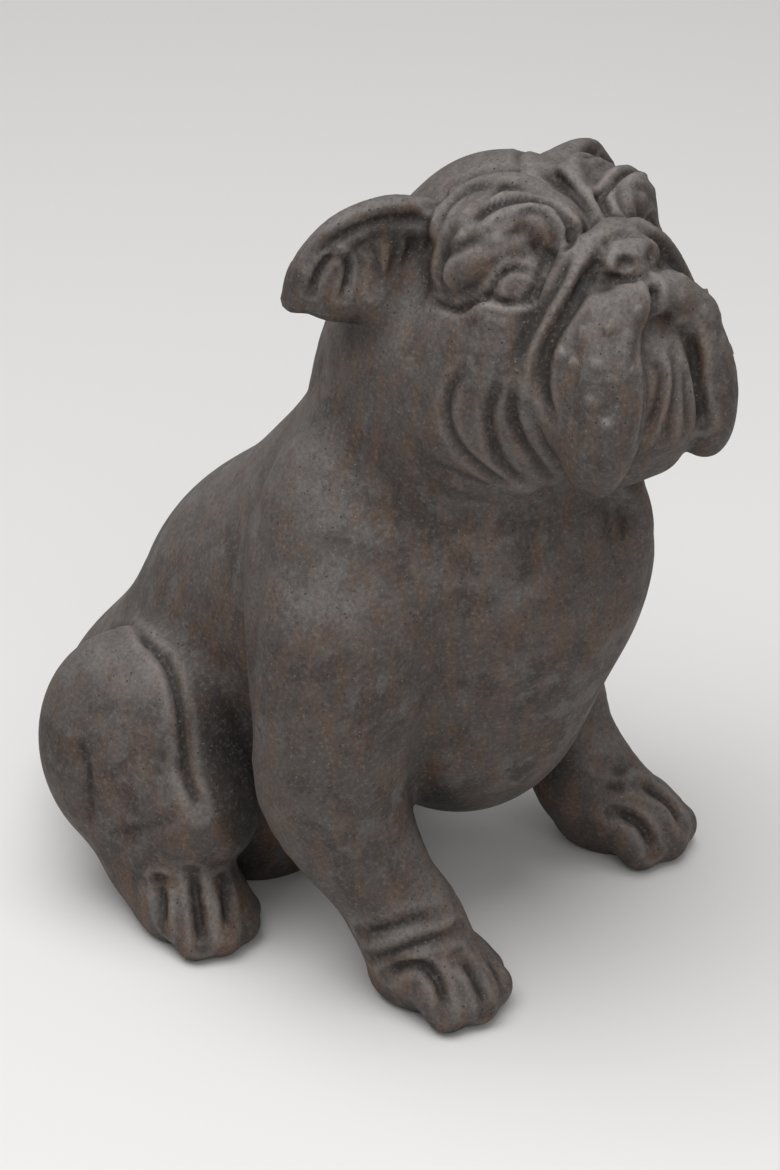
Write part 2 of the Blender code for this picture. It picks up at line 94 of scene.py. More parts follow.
# The left brow, eye and ear are a little lower and closer in than the right ones,
# and the left whiskers have smaller roots.
BROW_DROP = {-1: 0.0, 1: 1.5}
EYE_SHIFT = {-1: (0.0, 0.0, 0.0), 1: (-1.6, 1.2, -0.6)}
EAR_SHIFT = {-1: (0.0, 0.0, 0.0), 1: (-2.4, 3.4, -1.3)}
WHISKER_SIZE = {-1: 0.62, 1: 0.4}

# A distance past every form, and how far beyond its blend a form is still felt
FAR = 60.0
MARGIN = 3.0

# Carving: a bank's height as a share of its groove's depth, the proudest ridge and the deepest groove, the
# widest groove whose bottom is darkened, as gathered coat and painted shade, and the widest whose banks are
# rubbed pale
BANK = 0.2
PROUDEST = -0.7
DEEPEST = 1.6
GATHERS_COAT_AND_SHADE = 0.75
RUBBED_BANKS = 0.62
LINE_ROUNDS = 6

# The studio, in metres: where the camera and lamps look, the lamps' sizes, and the floor's radius
AIM = (-0.00502, -0.01028, 0.1892)
KEY_SIZE = 2.6
FILL_SIZE = 1.6
FLOOR_RADIUS = 14.0
SKY = (1.0, 0.99, 0.98, 1.0)
SKY_STRENGTH = 0.32


def soft_min(a, b, blend):
    """The smaller of two distances, rounded where they are within blend of each other."""
    near = np.maximum(blend - np.abs(a - b), 0.0) / blend
    return np.minimum(a, b) - near * near * blend / 4


def turn_matrix(degrees):
    return np.array(Euler(np.radians(degrees)).to_matrix())


def curve_through(points, steps=5):
    """Points on the smooth curve (Catmull-Rom) through the given rows of numbers."""
    p = np.array(points, float)
    if len(p) < 3:
        t = np.linspace(0, 1, steps + 1)[:, None]
        return p[0] * (1 - t) + p[-1] * t
    p = np.vstack([2 * p[0] - p[1], p, 2 * p[-1] - p[-2]])
    out = []
    for a, b, c, d in zip(p, p[1:], p[2:], p[3:]):
        for t in np.arange(steps) / steps:
            bend = (2 * a - 5 * b + 4 * c - d) * t**2 + (3 * b - 3 * c + d - a) * t**3
            out.append(b + 0.5 * ((c - a) * t + bend))
    out.append(p[-2])
    return np.array(out)


def line_distance(p, path, radii=None):
    """Distance from each point to a polyline, less the line's radius there."""
    best = np.full(len(p), np.inf)
    for i in range(len(path) - 1):
        a, along = path[i], path[i + 1] - path[i]
        t = np.clip((p - a) @ along / max(along @ along, 1e-9), 0, 1)
        d = np.sqrt(((p - a - t[:, None] * along) ** 2).sum(1))
        if radii is not None:
            d = d - (radii[i] * (1 - t) + radii[i + 1] * t)
        best = np.minimum(best, d)
    return best


class Clay:
    """Forms that add up to one soft solid, as a distance that is zero on its skin."""

    def __init__(self):
        self.forms = []
        self.balls = []
        self.grooves = []
        self.dots = []

    def add(self, centre, reach, shape, blend, mode):
        self.forms.append((np.array(centre, float), reach, shape, blend, mode))

    def lump(self, centre, radii, turn=(0, 0, 0), blend=4.0, mode="add", sides=(1,)):
        """An ellipsoid, turned by Euler degrees, once or on both sides."""
        for side in sides:
            c = np.array(centre, float) * (side, 1, 1)
            r = np.array(radii, float)
            m = turn_matrix((turn[0], turn[1] * side, turn[2] * side))

            def shape(p, c=c, r=r, m=m):
                q = (p - c) @ m
                k0 = np.sqrt(((q / r) ** 2).sum(1))
                k1 = np.sqrt(((q / r**2) ** 2).sum(1))
                return k0 * (k0 - 1) / np.maximum(k1, 1e-6)

            self.add(c, r.max(), shape, blend, mode)
            if mode == "add":
                self.balls.append((c, m * r))

    def roll(self, points, blend=3.0, sides=(1,)):
        """A round roll through rows of x, y, z and radius."""
        path = curve_through(points)
        radii = path[:, 3]
        for side in sides:
            line = path[:, :3] * (side, 1, 1)
            centre = line.mean(0)
            reach = (np.linalg.norm(line - centre, axis=1) + radii).max()

            def shape(p, line=line):
                return line_distance(p, line, radii)

            self.add(centre, reach, shape, blend, "add")
            for c, r in zip(line, radii):
                self.balls.append((c, np.eye(3) * r))

    def skin_line(self, points, side=1):
        """A smooth line through points moved onto the skin of their own side."""
        return curve_through(settled(np.array(points, float) * (side, 1, 1), self.distance, LINE_ROUNDS))

    def press(self, points, width, depth, sides):
        """A groove with raised banks that fades at its ends, or a ridge where depth is negative."""
        for side in sides:
            line = self.skin_line(points, side)
            centre = line.mean(0)
            reach = np.linalg.norm(line - centre, axis=1).max() + 3.5 * width

            def shape(p, line=line):
                off = line_distance(p, line) / width
                ends = np.minimum(((p - line[0]) ** 2).sum(1), ((p - line[-1]) ** 2).sum(1))
                full = np.clip(np.sqrt(ends) / (3 * width), 0, 1)
                return depth * full * (np.exp(-(off**2)) - BANK * np.exp(-((off - 2) ** 2)))

            self.grooves.append((centre, reach, shape, width))

    def distance(self, p):
        """How far points are from the skin, below zero inside."""
        d = np.full(len(p), FAR)
        for centre, reach, shape, blend, mode in self.forms:
            apart = ((p - centre) ** 2).sum(1)
            near = np.flatnonzero(apart < (reach + blend + MARGIN) ** 2)
            if not len(near):
                continue
            q = shape(p[near])
            if mode == "add":
                d[near] = soft_min(d[near], q, blend)
            else:
                d[near] = -soft_min(-d[near], q, blend)
        return d

    def relief(self, p, widest=FAR):
        """How deep the grooves up to a width are pressed at points on the skin."""
        deep = np.zeros(len(p))
        for centre, reach, shape, width in self.grooves:
            near = np.flatnonzero(((p - centre) ** 2).sum(1) < reach**2)
            if len(near) and width <= widest:
                deep[near] += shape(p[near])
        return deep


def slope(p, here, distance, step=0.03):
    """The gradient of a distance at each point, given the distance there."""
    g = np.empty_like(p)
    for axis in range(3):
        offset = np.zeros(3)
        offset[axis] = step
        g[:, axis] = (distance(p + offset) - here) / step
    return g


def settled(p, distance, rounds):
    """Points moved onto the skin of a distance."""
    p = p.copy()
    for _ in range(rounds):
        d = distance(p)
        g = slope(p, d, distance)
        p -= g * (np.clip(d, -2, 2) / np.maximum((g * g).sum(1), 0.2))[:, None]
    return p


# Each groove's places, width and depth, and the sides it is on; a negative depth is a ridge.
HEAD_CARVING = (
    # fine arc over the forehead
    ([(10.7, -4.5, 13), (5.3, 0, 13.3), (3.9, -1.3, 14.1), (2.4, -2.9, 14.5), (0.9, -4.8, 14.4),
      (-0.6, -6.4, 13.8)], 0.45, 0.35, BOTH),
    # between the brows, down to the stop
    ([(2.1, -7.3, 13.3), (1.5, -10.3, 12.4), (1.1, -12.8, 11.2), (1, -14.4, 9.7),
      (1.1, -15.5, 8.4)], 0.6, 0.7, LEFT),
    # arcs over the brow
    ([(12.1, -7.4, 11.4), (10.4, -7.1, 13), (8.8, -7.8, 13.9), (7.2, -8.8, 14.2),
      (5.8, -9.7, 13.9)], 0.5, 0.5, BOTH),
    ([(11.4, -11, 11.7), (10.1, -11.4, 12.7), (8.3, -11.7, 13.3), (5.4, -10.3, 13.2),
      (4.3, -11.2, 12.9)], 0.45, 0.3, BOTH),
    # round the outside of the brow
    ([(11.5, -11.5, 10.9), (10.5, -12.2, 11.9), (8.9, -13, 12.5), (7, -13.8, 12.6), (4.9, -14.2, 12),
      (3.3, -14.6, 11), (2.8, -15.6, 9.6), (2.8, -16.2, 8), (4.4, -17.6, 7)], 0.5, 0.9, BOTH),
    # the brow's inner curl
    ([(7.7, -14.7, 10.4), (6.3, -15.1, 10.9), (5.1, -15.5, 10.4), (4.6, -15.9, 9.2), (4.7, -16, 7.7),
      (5.4, -15.6, 6.3)], 0.5, 0.4, BOTH),
    ([(9.2, -13.5, 8.7), (8.2, -14.4, 9.4), (6.9, -15, 9.5)], 0.45, 0.35, BOTH),
    # deep hollow inside the eye, down the face
    ([(7, -15, 9.2), (6.2, -14.3, 7.1), (6.2, -14.5, 5.3), (7.9, -16.1, 3.9), (9, -16, 2.6),
      (10.1, -15.3, 1.1), (11.5, -14.4, -0.6)], 0.7, 0.5, BOTH),
    # folds that hood the eye
    ([(13.1, -8.1, 6.9), (13.1, -8.7, 9), (12.5, -9.7, 10.6), (11.6, -10.9, 11.6)], 0.5, 0.45, BOTH),
    ([(12.6, -8.4, 5.6), (12.8, -8.8, 7.5), (12.4, -10.2, 9), (11.6, -11.6, 9.7),
      (10.6, -12.6, 9.9)], 0.5, 0.4, BOTH),
    ([(11.5, -10.2, 7.5), (10.6, -11.3, 8), (10.2, -13.3, 8.3), (9.3, -14.4, 8)], 0.45, 0.15, BOTH),
    # upper lid and the crease over it, lower lid and the bag under it
    ([(12.1, -12.5, 4.1), (11.4, -13.6, 5.5), (10.2, -14.5, 6.3), (8.9, -15.1, 6),
      (7.7, -15.4, 4.7)], 0.38, 0.42, BOTH),
    ([(12, -12.5, 5), (11.2, -13.5, 6.1), (10, -14.3, 6.7), (8.8, -14.8, 6.4)], 0.42, -0.3, BOTH),
    ([(12.1, -12.5, 4), (11.2, -13.9, 3.1), (10, -14.8, 2.6), (8.8, -15.3, 2.9),
      (7.7, -15.4, 4)], 0.38, 0.42, BOTH),
    ([(12.1, -12.4, 3.2), (11.3, -13.6, 2.4), (10, -14.5, 2), (8.8, -15.1, 2.4)], 0.42, -0.3, BOTH),
    # outer corner of the eye
    ([(11.7, -13.4, 4.5), (12.4, -12.1, 4), (12.9, -10.4, 3.2), (13.5, -9.1, 3.1), (13.7, -7.5, 3.6),
      (13.8, -5.8, 3.9)], 0.4, 0.5, BOTH),
    # between the lip and the nose roll
    ([(2.7, -20.4, 6.5), (3.7, -20.5, 5.1), (5.1, -19.9, 3.6), (6.9, -19.5, 1.7), (8.4, -18.5, -0.1),
      (9.6, -17.4, -2), (10.3, -16.7, -4.2), (10.5, -16.3, -6.6), (10.5, -16.7, -8.7)], 0.6, 0.6, BOTH),
    ([(4.5, -20.2, 5.3), (6.2, -19.6, 3.2), (8, -18.6, 1.3), (9.5, -17.3, -1), (10.6, -16.2, -3.5),
      (10.9, -15.3, -6.1)], 0.45, 0.35, BOTH),
    # behind the nose roll
    ([(5.1, -18.5, 6.7), (6.3, -18.5, 5.7), (7.6, -18.2, 4), (8.9, -17.3, 2.1), (10.1, -16.1, 0.2),
      (11.3, -15, -1.7), (12.2, -14.1, -3.7)], 0.7, 0.7, BOTH),
    # cleft under the nose
    ([(0.1, -23.2, 2.2), (0, -23.6, 0.5), (-0.3, -23.4, -1.4)], 0.5, 1.2, LEFT),
    # round the nose
    ([(3, -20.6, 5.9), (1.9, -20.5, 6.7), (0.3, -20.9, 6.8), (-1.6, -21.3, 6.2),
      (-2.3, -21.9, 5.2)], 0.35, 0.3, RIGHT),
    ([(3.6, -20.7, 4.5), (2.9, -21.4, 3.3), (1.5, -22.2, 2.6), (-0.2, -22.7, 2.5)], 0.4, 0.4, RIGHT),
    # cheek folds, with soft ridges between
    ([(14.9, -9.9, -2.7), (15.5, -8.2, -4), (15.7, -6.8, -6.1), (15.6, -6.1, -8.3), (14.7, -5.9, -11),
      (13, -6, -13.4), (10.7, -5.7, -15.6), (7.8, -4.9, -17.7)], 0.5, 0.5, BOTH),
    ([(13.2, -12.4, -5), (13.5, -10.6, -7), (13.1, -9.2, -9.6), (12.1, -8.2, -12.4), (10.2, -7, -15),
      (7.1, -5.4, -17.6)], 0.5, 0.5, BOTH),
    ([(12.2, -13.7, -5.3), (12.1, -12.3, -7.9), (11.1, -11.2, -10.5), (9.4, -10, -13.3),
      (6.4, -7.5, -16.4), (3.4, -5.4, -18.6)], 0.45, 0.45, BOTH),
    ([(10.7, -13.8, -9.1), (9.6, -13, -11.7), (6.7, -10.4, -14.7)], 0.4, 0.3, BOTH),
    ([(15.1, -9, -4.9), (15.1, -7.7, -7), (14.5, -7.2, -9.7), (13.1, -7.2, -12.2),
      (10.9, -6.9, -14.6)], 0.9, -0.3, BOTH),
    ([(12.9, -12.2, -6.2), (12.5, -10.6, -9), (11.3, -9.5, -11.9),
      (9.4, -8.2, -14.6)], 0.7, -0.3, BOTH),
    # soft flutes down the lip
    ([(5.5, -22.4, 1.7), (7.4, -23.3, -0.8), (8.8, -23.2, -4.4), (9.4, -23.1, -8.3)], 0.8, 0.3, BOTH),
    ([(5.3, -24.3, -0.4), (7.3, -24.7, -3.9), (8.4, -24.2, -7.6), (8.9, -23.5, -10.5)], 0.8, 0.3, BOTH),
    ([(3.3, -24.1, -2), (5.7, -25.1, -5.3), (7.3, -24.6, -9)], 0.8, 0.25, BOTH),
    ([(8.1, -21.4, -0.6), (9.7, -20.6, -4.2), (10.5, -20.1, -8), (10.6, -20.3, -11.1)], 0.8, 0.3, BOTH),
    # under the front edges of the lips
    ([(2, -23.6, -3.2), (3.4, -24.1, -4.7), (4.1, -24, -6.5), (4.7, -23.7, -9.5),
      (5.4, -22.8, -12.5)], 0.5, 0.7, RIGHT),
    ([(2.3, -24.3, -4.4), (3.6, -22.9, -6.9), (3.6, -22.5, -9.2), (3.9, -21.8, -11.6),
      (4.6, -20.4, -13.9)], 0.6, 0.8, LEFT),
    # folds of the chin
    ([(0.9, -24.3, -4.9), (0.9, -22.8, -7.4), (1.9, -22.7, -10), (2.9, -21.6, -12.4)], 0.45, 0.4, RIGHT),
    ([(-1.5, -22.5, -5.4), (-0.2, -23, -9.2), (0.7, -22.5, -11.5), (1.1, -21.1, -13.9)], 0.45, 0.4, RIGHT),
    ([(2, -22.7, -7.6), (1.3, -22.7, -10.5), (1.1, -21.4, -13.6)], 0.45, 0.35, LEFT),
    # under the ear's turned edge
    ([(12, -6.4, 11.8), (12.8, -4.6, 12.4), (14.1, -3.8, 12.7), (15.9, -3.2, 13), (17.8, -2.3, 12.9),
      (19.4, -1.4, 12.5), (20.9, -0.2, 11.7), (22, 1, 10.4)], 0.75, 0.9, BOTH),
    # slits and folds inside the ear
    ([(22.4, 2.4, 7.7), (22, 1.5, 9), (21.2, 0.5, 10.2), (20, -0.4, 10.9)], 0.38, 0.75, BOTH),
    ([(19.8, 0.8, 6.5), (19.1, 0.4, 7.7), (18.7, 0, 9.1), (19.2, -0.4, 10.4)], 0.38, 0.7, BOTH),
    ([(16.6, -1.3, 10.4), (16.2, -1.1, 9.4), (16.1, -0.8, 8.1), (16.6, -0.1, 6.2)], 0.4, 0.3, BOTH),
    ([(14.7, -2.4, 10.5), (14.4, -2.2, 9.4), (14.8, -1.5, 8.2), (15.8, -0.8, 6.6)], 0.4, 0.3, BOTH),
    ([(13, -3.5, 10.8), (12.7, -2.8, 9.6), (13.5, -1.9, 8.2)], 0.4, 0.3, BOTH),
    # behind the jaw and under it
    ([(16.3, 8.9, 1.3), (17.3, 8.5, -1.1), (18.1, 8.4, -4.4), (18.6, 7.1, -7.5), (18.2, 4.9, -10.4),
      (17, 2.4, -12.7)], 1, 0.5, BOTH),
    ([(16.5, -0.9, -11.5), (14.7, -2.8, -13.7), (11.3, -4.2, -16.3), (6.8, -4.2, -18.8),
      (3.2, -4.2, -20.2)], 0.8, 0.45, BOTH),
)
BODY_CARVING = (
    # fold round the neck
    ([(6.8, -28.7, 58.5), (9.5, -28.2, 54.9), (12.3, -26.7, 51.8), (14.3, -24.4, 49.8),
      (15.7, -21.7, 48.1), (17.2, -19.6, 45.3)], 1.5, 0.5, BOTH),
    # down the breast, and the ridge beside it
    ([(4.2, -30.9, 54.5), (4.9, -31.8, 51), (3.8, -32.4, 44.8)], 1.1, 0.35, RIGHT),
    ([(-2.5, -32.6, 44.6), (2.1, -32.7, 44.4), (5, -31.7, 42.9), (4.4, -30.3, 38.1)], 1.6, -0.6, RIGHT),
    # armpit, and the hollow down the arm
    ([(16.4, -20.5, 45.2), (17.2, -18.8, 39), (16.8, -17.3, 32.2),
      (13.3, -14.8, 23.2)], 1.5, 0.5, BOTH),
    ([(25, -10.1, 51), (26.8, -12.4, 43.1), (27.7, -12.4, 33.9), (26.6, -12.9, 26)], 1.8, 0.25, BOTH),
    # wrinkles of the wrist
    ([(23.7, -14, 10.5), (23.5, -16.8, 11.9), (21.9, -19.1, 12.8), (18.9, -21, 12.6)], 0.6, 0.6, RIGHT),
    ([(23.2, -14.6, 7.1), (23.5, -18, 9.1), (21.7, -20.7, 10.4), (17.1, -22.5, 10.3)], 0.6, 0.6, RIGHT),
    # between the front toes
    ([(23.3, -16.8, 5.7), (23.2, -18.7, 7.5), (22.3, -20.7, 7.7), (22, -22.2, 6.6), (22.5, -23.4, 5.2),
      (23.2, -24.3, 3.6)], 0.6, 0.7, RIGHT),
    ([(19.3, -23.3, 8), (18.9, -24.9, 6.5), (19.4, -26.4, 4.8), (19.9, -27.4, 2.6)], 0.6, 0.6, RIGHT),
    ([(15.6, -24.6, 6.7), (15.7, -26.1, 5), (16.7, -27.5, 3.1)], 0.5, 0.4, RIGHT),
    # between the left front toes, and its wrist
    ([(18.8, -24.3, 9.6), (20.4, -25.4, 8.1), (21.5, -27, 6.2), (21.2, -28.8, 4.3)], 0.6, 0.7, LEFT),
    ([(14.9, -22.9, 7.6), (16, -24.1, 7), (16.7, -25.6, 6), (16.7, -26.9, 4.5),
      (16.3, -27.7, 3.1)], 0.6, 0.7, LEFT),
    ([(15.4, -21.5, 12.8), (16.9, -22.7, 11.8), (20.2, -23.2, 11)], 0.7, 0.6, LEFT),
    ([(14.2, -21.6, 11.2), (16.3, -23.3, 10.2), (19.3, -24.2, 9.7)], 0.7, 0.6, LEFT),
    # round the haunch
    ([(8.5, 29.6, 26.8), (11.6, 25.1, 30.1), (14.6, 21.4, 32.3)], 0.5, 0.3, BOTH),
    ([(13.2, 23.1, 31.4), (17.7, 17.5, 33.9), (18.7, 14.2, 32.7), (20.1, 11.8, 30),
      (21.4, 10.2, 26.1), (22.5, 9.2, 22), (23.5, 6.9, 18.5)], 0.55, 0.75, BOTH),
    # behind the haunch
    ([(25.6, 20.9, 24.8), (26.2, 20, 21.6), (26.2, 19.5, 17.9), (25, 20.7, 12.2)], 0.7, 0.6, BOTH),
    # above the hock
    ([(25.3, 17.8, 12.7), (25.5, 14.2, 14.8), (25.4, 10.3, 17.1), (24.3, 8.3, 18.5)], 0.7, 0.4, BOTH),
    # between the hind toes
    ([(24.6, 11.7, 8.6), (25.7, 10.7, 6.3), (26.4, 9.9, 3.6)], 0.6, 0.8, BOTH),
    ([(23.6, 8.1, 10.6), (24, 7.4, 7.8), (24.9, 6.3, 5.4), (25.8, 5.4, 2.9)], 0.6, 0.8, BOTH),
    ([(21.2, 5.8, 8.7), (22, 4.6, 6.3), (23.2, 3.5, 4.1)], 0.6, 0.7, BOTH),
    ([(24.9, 12.9, 7.6), (24.6, 11.7, 8.8), (24.4, 10.3, 8.7)], 0.5, 0.4, BOTH),
    # loose skin of the flank
    ([(16.4, 7.7, 30.1), (16.1, 6.7, 27.4), (15.3, 6, 23.9)], 0.8, 0.5, BOTH),
    ([(18.8, 7.1, 22.8), (17.8, 5.4, 21.6), (18.4, 3, 21.2)], 0.8, 0.5, BOTH),
    ([(19.4, 5.9, 20.7), (18, 4.6, 19.4), (18.6, 2.4, 18.8)], 0.8, 0.5, BOTH),
    # beside the dewlap
    ([(2.9, -30.5, 60), (2.5, -31.5, 57.3), (2.4, -31.8, 54.4), (2.1, -32.5, 51.5)], 0.8, 0.9, RIGHT),
    ([(0.3, -33.3, 58.9), (1.2, -33.5, 56.7), (0.8, -33.8, 53.7)], 0.7, -0.4, RIGHT),
    # back of the arm
    ([(13, 5, 54), (21, -0.5, 53), (25.2, -1.4, 45), (25.6, -1, 36), (25, -0.5, 28)], 1.8, 0.7, BOTH),
)
# roots of the whiskers
WHISKERS = (
    (8.3, -21.4, -0.8), (6.9, -23.9, -0.9), (5.2, -24.9, -2.4), (9.4, -18.7, -2.7),
    (9.5, -20.5, -3.7), (8.8, -23.2, -4), (8.2, -24.3, -5.9), (9.8, -22.3, -7.5),
    (4.4, -23.2, 1.4), (2.8, -24.1, -0.3), (9.1, -23.3, -10), (5.7, -25.1, -5.6),
)


def paw(clay, side, at, turn, size, ankle, toes):
    """A paw on the floor: a pad, a bridge from the ankle, and four toes in a fan."""
    m = turn_matrix((0, 0, turn * side))

    def place(x, y, z, *radius):
        spot = m @ (x * side, y, 0)
        return (spot[0] + at[0] * side, spot[1] + at[1], z, *radius)

    clay.lump(place(0, 1.2, 3), (4.9, size - 1, 4), turn=(0, 0, turn * side), blend=3)
    clay.roll([(ankle[0] * side, *ankle[1:]), place(0, -2, 5, 4.2)], blend=3)
    for x, y, r in toes:
        toe = [place(x * 0.6, y + 7, 5.2, r), place(x * 0.9, y + 2.5, 4.4, r), place(x, y, r, r)]
        clay.roll(toe, blend=1.6)


def forelegs(clay):
    """Shoulders and straight forelegs, the left paw set a little forward and turned out."""
    clay.lump((15.5, -7, 46), (9, 10, 18), turn=(-8, 0, 0), blend=6, sides=BOTH)
    arm = [(19, -8, 44, 8.8), (20.5, -8, 33, 8.5), (20.2, -8.2, 24, 7.6),
           (18.6, -12.6, 15, 5.9), (17.8, -16.3, 9, 5.2)]
    toes = [(-4.5, -4.3, 2.3), (-1.7, -6.4, 2.6), (1.6, -6.5, 2.6), (4.5, -4.5, 2.3)]
    clay.roll(arm, blend=4, sides=RIGHT)
    paw(clay, -1, (17.4, -18.6), -4, 6.8, (17.8, -16.5, 9, 5.2), toes)
    forward = [(x + 0.2 * (44 - z) / 35, y - 1.2 * (44 - z) / 35, z, r) for x, y, z, r in arm]
    clay.roll(forward, blend=4)
    paw(clay, 1, (20.4, -20.5), 12, 7.2, (18, -17.7, 9, 5.2), toes)


def hind_legs(clay):
    """Folded thighs with the hind paws flat beside the belly."""
    toes = [(-4.2, -3.8, 2.1), (-1.6, -5.5, 2.4), (1.5, -5.5, 2.4), (4, -3.8, 2.1)]
    clay.lump((17.3, 18.6, 19.6), (8.8, 12, 14.4), turn=(0, 0, -12), blend=4, sides=BOTH)
    clay.roll([(19, 10, 15, 6.4), (18.4, 15.5, 8, 5.6), (18.2, 17.5, 5.5, 4.8)], blend=4, sides=BOTH)
    clay.roll([(18.6, 15.2, 3.9, 3.7), (20, 12, 4.2, 4.4)], blend=3, sides=BOTH)
    for side in BOTH:
        paw(clay, side, (20.4, 10.5), 6, 6, (19, 12, 6, 4.6), toes)


def body_clay():
    """Trunk, legs and neck, in the statue's own axes."""
    clay = Clay()
    # rump, loin, groin, ribs, chest and breast
    clay.lump((0, 24.3, 13.5), (15, 15, 14))
    clay.lump((0, 13, 27), (15, 15.4, 20.6), blend=10)
    clay.lump((0, 12.5, 7), (13, 9, 10), blend=6)
    clay.lump((0, 1, 39.6), (17, 14.2, 18.4), blend=10)
    clay.lump((-0.4, -11.6, 33.4), (15.2, 15.5, 18.8), blend=8)
    clay.lump((0, -18.5, 47), (15.5, 14.5, 15), blend=8)
    clay.roll([(0, -8, 50, 16), (-0.5, -11.3, 60, 16), (-1, -14.4, 70, 14.4)], blend=8)
    forelegs(clay)
    hind_legs(clay)
    clay.lump((0, 38.5, 9), (3.6, 4, 2.8), blend=3)
    dewlap = [(-0.5, -28, 62, 3), (0.3, -31.3, 57, 2.6), (0.8, -31.8, 52, 2.4), (0.6, -30.5, 47, 2)]
    clay.roll(dewlap, blend=2)
    for groove, width, depth, sides in BODY_CARVING:
        clay.press(groove, width, depth, sides)
    return clay


def ear(clay, side):
    """A thick ear folded over at the top, its hollow looking forward."""
    shift = EAR_SHIFT[side]
    turn = (0, 22 * side, 24 * side)

    def at(x, y, z, *radius):
        return ((x + shift[0]) * side, y + shift[1], z + shift[2], *radius)

    rim = [(9.8, -2.5, 11.4, 2.3), (14, -1.8, 13.2, 2), (18.6, 0.4, 12.6, 1.9),
           (21.8, 3.4, 9.6, 1.7), (22.6, 5.4, 7, 1.4)]
    inner = [(14.6, -0.8, 10, 1.1), (15.2, 0.4, 7.4, 1.2), (15.6, 1.4, 4.4, 1)]
    outer = [(18.2, 1.6, 8.8, 0.7), (18.4, 2.6, 6.2, 0.8), (18.2, 3.4, 4, 0.6)]
    clay.lump(at(15.8, 1.8, 9), (7.6, 3.4, 5.2), turn=turn, blend=3)
    clay.roll([at(*row) for row in rim], blend=1.5)
    clay.lump(at(17, -2.7, 7.4), (4.9, 2.8, 4.1), turn=turn, blend=1.3, mode="cut")
    clay.roll([at(*row) for row in inner], blend=2)
    clay.roll([at(*row) for row in outer], blend=0.8)


def brow(clay, side):
    """The heavy brow over the eye, and the fold of forehead behind it."""
    drop = BROW_DROP[side]
    mass = [(11.6, -6.4, 7.2, 2), (10, -9.2, 9.8, 2.7), (7.2, -11.6, 10.4, 3),
            (4.4, -13.4, 9, 2.5), (3.6, -14.6, 6.6, 1.8)]
    fold = [(11, -6, 11.2, 1.3), (7.2, -7.4, 13.2, 1.5), (3.4, -9.6, 13, 1.5),
            (1.6, -12.6, 10.4, 1.4), (1.6, -14.8, 8.2, 1.1)]
    clay.roll([(x * side * (1 + 0.02 * drop), y, z - drop, r) for x, y, z, r in mass], blend=3.2)
    clay.roll([(x * side, y, z - 0.6 * drop, r) for x, y, z, r in fold], blend=1.6)


def eye(clay, side):
    """An eyeball, and the skin between it and the nose; its lids are carved."""
    shift = EYE_SHIFT[side]

    def at(x, y, z, *radius):
        return ((x + shift[0]) * side, y + shift[1], z + shift[2], *radius)

    corner = [(7.2, -13, 7.6, 1.3), (7.3, -13.9, 5, 1.4), (8.4, -14.3, 2.8, 1.2)]
    hood = [(12.4, -9.4, 6.6, 1.5), (11.4, -11.2, 7.2, 1.6), (9.8, -12.6, 7.7, 1.5)]
    bag = [(12, -11.6, 2.6, 1), (11, -12.8, 1.6, 1.1), (9.8, -13.6, 1.2, 1.1)]
    clay.roll([at(*row) for row in corner], blend=2)
    clay.roll([at(*row) for row in hood], blend=2.2)
    clay.roll([at(*row) for row in bag], blend=2)
    clay.lump(at(9.2, -13.1, 4.5), (2.9, 1.9, 2), turn=(0, 0, 38 * side), blend=0.9)


def muzzle(clay):
    """Hanging upper lips with the chin between them, and the nose under its roll of skin."""
    lip = [(0.6, -21.4, 0.7, 2), (3, -21.7, -0.1, 2.4), (5.6, -21.4, -3.2, 2.8)]
    chin = [(1.4, -19.4, -8.5, 3), (2, -17, -12.2, 4), (1.8, -14.4, -14.4, 4.2)]
    roll = [(9.2, -12.8, -4.5, 2), (7.2, -16, 0.7, 2.4), (4.9, -17.8, 4.1, 2.2),
            (2.6, -18.6, 6, 1.8), (0, -18.8, 6.7, 1.6)]
    clay.lump((0, -15.2, -4), (8.6, 6, 7), blend=2.5)
    clay.lump((6.5, -19.2, -7.9), (4, 5.6, 10.4), turn=(13, -10, 0), blend=2, sides=RIGHT)
    clay.lump((6.4, -17.9, -8.7), (3.8, 5.5, 10), turn=(14, -8, 0), blend=2)
    clay.roll(lip, blend=1, sides=BOTH)
    clay.lump((-0.8, -25.6, -8.5), (3.1, 3, 6.8), blend=0.8, mode="cut")
    clay.roll(chin, blend=1.5, sides=BOTH)
    clay.lump((0.5, -19.4, -9), (3.9, 3.7, 6.6), blend=0.7)
    clay.roll(roll, blend=1.4, sides=BOTH)
    clay.lump((0, -19.9, 4.3), (3.8, 2.8, 2.5), blend=0.7)
    clay.lump((1.9, -22.6, 4.2), (1, 1.2, 0.9), blend=0.5, mode="cut", sides=BOTH)


def head_clay():
    """Skull, face and ears, looking along -Y about the head's middle."""
    clay = Clay()
    # skull, nape, jowls, throat, face and cheekbones
    clay.lump((1.2, 1.2, 4.5), (10.4, 13.5, 11.3))
    clay.lump((0, 10.3, -4.5), (14.5, 11.8, 12.5), blend=6)
    clay.lump((8.5, 1, -5), (9, 12, 12), blend=6, sides=BOTH)
    clay.lump((0, -6, -5), (12.5, 10, 12), blend=5)
    clay.lump((0, -13.5, -5), (11, 7.5, 10.5), blend=4)
    clay.lump((9.6, -8.2, -1.2), (4.8, 5.6, 6), blend=4, sides=BOTH)
    for side in BOTH:
        brow(clay, side)
        eye(clay, side)
    muzzle(clay)
    for side in BOTH:
        ear(clay, side)
    for groove, width, depth, sides in HEAD_CARVING:
        clay.press(groove, width, depth, sides)
    for side in BOTH:
        for root in settled(np.array(WHISKERS) * (side, 1, 1), clay.distance, LINE_ROUNDS):
            clay.lump(root, [WHISKER_SIZE[side]] * 3, blend=0.3)
            clay.dots.append(root)
    return clay


